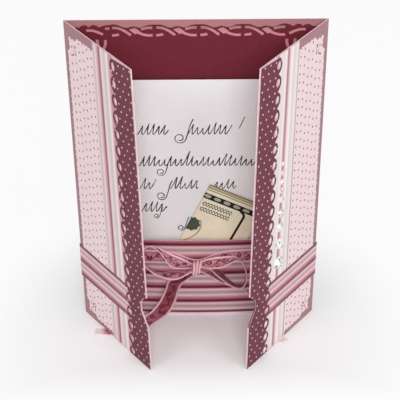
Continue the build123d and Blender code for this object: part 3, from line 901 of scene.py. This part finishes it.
def draped_strip(name, rows, columns, place, width=ribbon_width, end=None, pleats=0):
    """A strip of ribbon: a grid whose points go to place(along, across), mapped in millimetres.

    Its measure starts at zero, or ends at the given mark. Where it is gathered in pleats,
    the pale selvedge is laid on their ridges as a painted highlight.
    """
    deselect_all()
    bpy.ops.mesh.primitive_grid_add(x_subdivisions=columns, y_subdivisions=rows, size=1.0)
    strip = bpy.context.object
    strip.name = name
    mesh = strip.data
    middle = [place(row / rows, 0.5) for row in range(rows + 1)]
    reach = [0.0]
    for before, after in zip(middle, middle[1:]):
        reach.append(reach[-1] + (after - before).length)
    shares = [row / rows for row in range(rows + 1)]
    start = 0 if end is None else end - reach[-1] / MM
    for loop in mesh.uv_layers.active.data:
        along = float(np.interp(loop.uv[1], shares, reach))
        across = loop.uv[0]
        if pleats:
            # Pleats: the pale selvedge is mapped onto each ridge, a painted highlight
            across = 0.24 * (1 - abs(math.sin(math.pi * pleats * across)))
        loop.uv = (across * width / MM, start + along / MM)
    for vertex in mesh.vertices:
        vertex.co = place(vertex.co.y + 0.5, vertex.co.x + 0.5)
    return strip, reach[-1]


def bow_point(place, height):
    """A point of the bow: its x and y from their shares of the span, and its height."""
    return Vector((knot_x + place[0] * bow_span, pocket_front + place[1] * bow_span, height))


def strand_place(stations, curl):
    """Places of a strand between its two edges, curled a little across its width."""
    first = [station[0] for station in stations]
    second = [station[1] for station in stations]

    def place(along, across):
        one, other = on_curve(first, along), on_curve(second, along)
        ahead = on_curve(first, min(along + 0.01, 1)) + on_curve(second, min(along + 0.01, 1))
        behind = on_curve(first, max(along - 0.01, 0)) + on_curve(second, max(along - 0.01, 0))
        upright = (other - one).cross(ahead - behind)
        if upright.length > 1e-9:
            upright.normalize()
        arch = 4 * across * (1 - across)
        point = one + (other - one) * across + upright * curl * arch
        point.z = max(point.z, ribbon_seat)
        return point

    return place


def loop_strip(name, shares, curl, end=None):
    """One of the bow's loops."""
    stations = [
        [bow_point(point, knot_z + point[2] * bow_span) for point in station] for station in shares
    ]
    return draped_strip(name, strand_rows, strand_columns, strand_place(stations, curl), end=end)


def tail_strip(name, shares, curl, end):
    """One of the ribbon's tails, which comes down from the knot and lies on the table."""
    stations = [
        [bow_point(point, max(point[2] * knot_z, ribbon_seat)) for point in station]
        for station in shares
    ]
    return draped_strip(name, strand_rows, strand_columns, strand_place(stations, curl), end=end)


def run_strip():
    """The run across the pocket's bowed front, drawn together where the knot holds it."""
    radius = (pocket_half_width ** 2 + pocket_bulge ** 2) / (2 * pocket_bulge)

    def place(along, across):
        x = ribbon_reach * (2 * along - 1)
        back = radius - math.sqrt(radius ** 2 - x ** 2)
        pinch = math.exp(-(((x - knot_x) / run_pinch_reach) ** 2))
        middle = ribbon_foot + ribbon_width / 2 - run_pinch_drop * pinch
        z = middle + (across - 0.5) * ribbon_width * (1 - run_pinch_share * pinch)
        return Vector((x, pocket_front + back - ribbon_seat, z))

    return draped_strip("flat_run", 60, 6, place)


def knot_strip():
    """The strip wound round the bow's middle, gathered into upright pleats."""
    width, depth, height = knot_size
    middle_y = pocket_front - 0.05 * MM - depth / 2

    def place(along, across):
        angle = math.tau * along
        pleat = abs(math.sin(math.pi * knot_pleats * across + 0.3 * math.sin(angle + 0.6)))
        tuck = 1 - knot_tuck * (2 * across - 1) ** 4
        ridge = knot_pleat_depth * (pleat - 1)
        power = knot_squareness
        swell = (abs(math.cos(angle)) ** power + abs(math.sin(angle)) ** power) ** (-1 / power)
        y = middle_y - (depth / 2 + ridge) * tuck * swell * math.cos(angle)
        z = knot_z + (height / 2 + ridge) * tuck * swell * math.sin(angle)
        waist = 1 - knot_waist * math.cos(angle) ** 2
        aside = (across - 0.5) * width * waist
        return Vector((knot_x + aside + (z - knot_z) * knot_lean, y, z + aside * knot_lean * 2))

    return draped_strip("knot_strip", 56, 36, place, pleats=knot_pleats)


def frayed_threads(name, shares, spread, mark):
    """Loose threads past a tail's cut end, each a narrow strip on the table."""
    start, end = (bow_point(share, ribbon_seat) for share in shares[-1])
    inner, outer = (bow_point(share, ribbon_seat) for share in shares[-2])
    ahead = (start + end - inner - outer).normalized()
    strips = []
    for number in range(threads_to_an_end):
        share = (number + 0.5) / threads_to_an_end
        root = start + (end - start) * share - ahead * 1.5 * MM
        length = spread * thread_luck.uniform(0.45, 1.0)
        swerve = thread_luck.uniform(-0.5, 0.5)
        lift = thread_luck.uniform(0, 0.5) * MM
        sideways = Vector((-ahead.y, ahead.x, 0))

        def place(along, across):
            point = root + ahead * length * along + sideways * length * swerve * along * along
            point += sideways * thread_width * (across - 0.5)
            point.z = ribbon_seat + lift * math.sin(math.pi * along)
            return point

        thread = draped_strip(f"{name}_{number}", 8, 1, place, thread_width, mark + length / MM)
        strips.append(thread[0])
    return strips


def tie_ribbon(material):
    """The ribbon: all its strips joined and given their thickness."""
    made = [
        run_strip(),
        loop_strip("left_loop", left_loop_shares, 1.0 * MM),
        loop_strip("right_loop", right_loop_shares, -0.8 * MM, fold_mark),
        tail_strip("left_tail", left_tail_shares, 0.4 * MM, tail_mark),
        tail_strip("right_tail", right_tail_shares, 0.4 * MM, far_tail_mark),
        knot_strip(),
    ]
    strips = [strip for strip, length in made]
    strips += frayed_threads("left_thread", left_tail_shares, thread_reach, tail_mark)
    strips += frayed_threads("right_thread", right_tail_shares, thread_reach, far_tail_mark)
    select_only(*strips)
    bow = strips[0]
    bpy.ops.object.join()
    bow.name = "ribbon_bow"
    thicken(bow, ribbon_thickness, 0)
    bpy.ops.object.shade_smooth_by_angle(angle=math.radians(50))
    finish_piece(bow, "rose_ribbon", material, "ribbon")


def letter_face(height):
    """The letter's front at a height: flat on the liner below, leaning forward at its top."""
    rise = max(0.0, height - letter_flat) / (letter_top - letter_flat)
    return letter_back - letter_paper - letter_lean * rise * rise


def standing_letter(material):
    """The letter, a sheet that comes a little away from the liner at its top."""
    deselect_all()
    middle = (letter_foot + letter_top) / 2
    bpy.ops.mesh.primitive_grid_add(x_subdivisions=6, y_subdivisions=48, size=1.0)
    sheet = bpy.context.object
    sheet.name = "letter"
    for vertex in sheet.data.vertices:
        height = middle + vertex.co.y * (letter_top - letter_foot)
        vertex.co = (vertex.co.x * letter_width, letter_face(height), height)
    thicken(sheet, letter_paper, -1)
    bpy.ops.object.shade_smooth_by_angle(angle=math.radians(30))
    finish_piece(sheet, "white_paper", material, "letter_sheet")


def squiggle(start, end, base):
    """A slanted pen wave along a row, which spells nothing."""
    length = end - start
    steps = max(24, round(length / pen_step))
    first, second, third = (pen_luck.uniform(0, math.tau) for _ in range(3))
    points = []
    for step in range(steps + 1):
        reach = length * step / steps
        turned = math.tau * reach / pen_loop
        swell = 0.85 + 0.25 * math.sin(turned * 0.31 + first)
        tall = max(0.0, math.sin(turned * 0.131 + second)) ** 4
        wide = pen_loop * (0.1 + 0.04 * math.sin(turned * 0.23 + third))
        rise = pen_height * (swell + 0.6 * tall) * (1 - math.cos(turned)) / 2
        points.append((start + reach + wide * math.sin(turned) + rise * pen_slant, base + rise))
    return points


def curl_at(x, z, radius):
    """A flourish that comes down from the row and winds in on itself."""
    points = [(x + radius * a, z + radius * b) for a, b in ((2.1, 3.4), (1.6, 2.4), (1.35, 1.2))]
    for step in range(curl_steps):
        angle = -math.tau * step / curl_steps_to_a_turn
        reach = radius * (1 - step / curl_steps_to_the_middle)
        points.append((x + reach * math.cos(angle), z + reach * math.sin(angle)))
    return points


def pen_scrolls(material):
    """The ink on the letter: rows of waves and a few curls, laid on its face."""
    lines = [squiggle(start, end, base) for base, waves in pen_rows for start, end in waves]
    lines += [curl_at(*curl) for curl in pen_curls]
    lines.append(pen_dash)
    data = bpy.data.curves.new("pen_scrolls", "CURVE")
    data.dimensions = "3D"
    data.bevel_depth = pen_radius
    data.bevel_resolution = 1
    data.use_fill_caps = True
    data.resolution_u = 3
    for line in lines:
        spline = data.splines.new("NURBS")
        spline.points.add(len(line) - 1)
        for point, (x, z) in zip(spline.points, line):
            point.co = (x, 0, z, 1)
            point.radius = pen_luck.uniform(0.55, 1.25)
        spline.order_u = min(3, len(line))
        spline.use_endpoint_u = True
    select_only(new_object("pen_scrolls", data))
    bpy.ops.object.convert(target="MESH")
    scrolls = bpy.context.object
    for vertex in scrolls.data.vertices:
        vertex.co.y = letter_face(vertex.co.z) - 0.02 * MM + vertex.co.y * 0.2
    finish_piece(scrolls, "white_paper", material)


def cut_stone():
    """A faceted stone of diameter 1 with its back at the origin and its face towards +Z."""
    deselect_all()
    bpy.ops.mesh.primitive_cylinder_add(vertices=stone_sides, radius=0.5, depth=stone_girdle_share)
    stone = bpy.context.object
    bpy.ops.object.mode_set(mode="EDIT")
    bpy.ops.mesh.select_all(action="DESELECT")
    bpy.ops.object.mode_set(mode="OBJECT")
    for vertex in stone.data.vertices:
        vertex.co.z += stone_girdle_share / 2
    for face in stone.data.polygons:
        face.select = face.normal.z > 0.9
    bpy.ops.object.mode_set(mode="EDIT")
    crown = stone_rise_share - stone_girdle_share
    lower = crown * stone_lower_share
    bpy.ops.mesh.extrude_region_move(TRANSFORM_OT_translate={"value": (0, 0, lower)})
    bpy.ops.transform.resize(value=(stone_shoulder_share, stone_shoulder_share, 1))
    bpy.ops.transform.rotate(
        value=math.pi / stone_sides, orient_axis="Z", center_override=(0, 0, 0)
    )
    bpy.ops.mesh.extrude_region_move(TRANSFORM_OT_translate={"value": (0, 0, crown - lower)})
    share = stone_table_share / stone_shoulder_share
    bpy.ops.transform.resize(value=(share, share, 1))
    bpy.ops.mesh.select_all(action="SELECT")
    bpy.ops.mesh.quads_convert_to_tris()
    bpy.ops.object.mode_set(mode="OBJECT")
    return stone


def set_stones(material):
    """Copies of the stone up the right flap, each where its CAD node is."""
    cut = cut_stone()
    ahead = Vector((math.sin(turn), -math.cos(turn), 0))
    beside = Vector((math.cos(turn), math.sin(turn), 0))
    up = Vector((0, 0, 1))
    for number in range(1, stone_count + 1):
        node = f"rhinestone_{number}"
        low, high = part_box(node)
        size = high.z - low.z
        middle = (low + high) / 2
        seat = middle - ahead * size * stone_rise_share / 2
        spin = math.tau * number / 5
        mesh = cut.data.copy()
        stone = new_object(f"stone_{number}", mesh)
        for vertex in mesh.vertices:
            x = vertex.co.x * math.cos(spin) - vertex.co.y * math.sin(spin)
            y = vertex.co.x * math.sin(spin) + vertex.co.y * math.cos(spin)
            point = seat + (beside * x + up * y + ahead * vertex.co.z) * size
            vertex.co = warp(point)
        finish_piece(stone, "clear_stone", material, node)
    bpy.data.objects.remove(cut)


def make_camera():
    """Stands the camera where the view was taken from."""
    data = bpy.data.cameras.new("camera")
    data.lens = camera_lens
    data.sensor_width = sensor_width
    camera = new_object("camera", data)
    camera.location = camera_place
    aim = Euler((math.radians(90 - camera_pitch), 0, math.radians(-camera_yaw)))
    roll = Quaternion((0, 0, 1), math.radians(-camera_roll))
    camera.rotation_mode = "QUATERNION"
    camera.rotation_quaternion = aim.to_quaternion() @ roll
    bpy.context.scene.camera = camera


def make_lamp(name, place, aim, size, watts):
    """A square soft lamp that looks at a point."""
    data = bpy.data.lights.new(name, "AREA")
    data.size = size
    data.energy = watts
    lamp = new_object(name, data)
    lamp.location = place
    direction = Vector(aim) - Vector(place)
    lamp.rotation_euler = direction.to_track_quat("-Z", "Y").to_euler()


def see_through_rays(finish):
    """1 for rays that the camera, a mirror or a lens sends, and 0 for light's own."""
    seen = finish.node("ShaderNodeLightPath", output=0)
    mirrored = finish.node("ShaderNodeLightPath", output=3)
    passed = finish.node("ShaderNodeLightPath", output=6)
    return seen.larger(mirrored).larger(passed)


def make_studio():
    """A pale floor, an even sky and three soft lamps."""
    deselect_all()
    bpy.ops.mesh.primitive_plane_add(size=6.0, location=(0, 0, 0))
    floor = bpy.context.object
    floor.name = "floor"
    finish = Finish("floor_white", specular=0.1)
    material = finish.paint(linear(243, 243, 244), 0.9)
    white = finish.node("ShaderNodeEmission", inputs={"Color": (1, 1, 1, 1), "Strength": 1.0})
    x, y = finish.millimetres()[:2]
    away = ((x.squared() + y.squared()) ** 0.5).above(glow_start, glow_blur)
    away = away.larger((y * -1).above(front_glow, front_blur))
    factor = see_through_rays(finish) * (away * (far_glow - near_glow) + near_glow)
    tree = finish.tree
    blend = tree.nodes.new("ShaderNodeMixShader")
    tree.links.new(factor.socket, blend.inputs[0])
    tree.links.new(finish.surface.outputs[0], blend.inputs[1])
    tree.links.new(white.socket, blend.inputs[2])
    tree.links.new(blend.outputs[0], finish.output.inputs["Surface"])
    floor.data.materials.append(material)
    world = bpy.data.worlds.new("sky")
    world.use_nodes = True
    tree = world.node_tree
    backdrop = tree.nodes["Background"]
    backdrop.inputs["Color"].default_value = (1.0, 1.0, 1.0, 1.0)
    strength = see_through_rays(Shade(tree, None)) * (1 - sky_strength) + sky_strength
    tree.links.new(strength.socket, backdrop.inputs["Strength"])
    bpy.context.scene.world = world
    for name, settings in lamps.items():
        make_lamp(name, *settings)


thread_luck = random.Random(7)
pen_luck = random.Random(23)
bpy.context.scene.view_settings.view_transform = "Standard"
make_camera()
make_studio()

finishes = {
    "card_base": card_finish(),
    "liner_panel": liner_finish(),
    "letter_sheet": letter_finish(),
    "pocket": pocket_finish(),
    "folded_voucher": slip_finish(),
    "ribbon": ribbon_finish(),
    "belly_band": band_finish(),
    "left_dotted_panel": dotted_finish(),
    "left_striped_strip": striped_strip_finish("left_striped_paper", left_stripe_paints),
    "right_striped_strip": striped_strip_finish(
        "right_striped_paper", right_stripe_paints, PLUM_EDGE_SHADE
    ),
    "left_scalloped_strip": scalloped_finish("left_dark_paper", 67.5, 161.6, -2.1, 4.9),
    "right_scalloped_strip": scalloped_finish("right_dark_paper", 70.2, 143.9, 1.9, 4.4),
}
finishes["right_dotted_panel"] = finishes["left_dotted_panel"]
stone_gloss = stone_finish()
for number in range(1, stone_count + 1):
    finishes[f"rhinestone_{number}"] = stone_gloss
dress(finishes)

for node, name, slot in twisted_pieces:
    twisted_paper(node, name, slot, finishes[node])
standing_letter(finishes["letter_sheet"])
pen_scrolls(ink_finish())
set_stones(stone_gloss)
tie_ribbon(finishes["ribbon"])
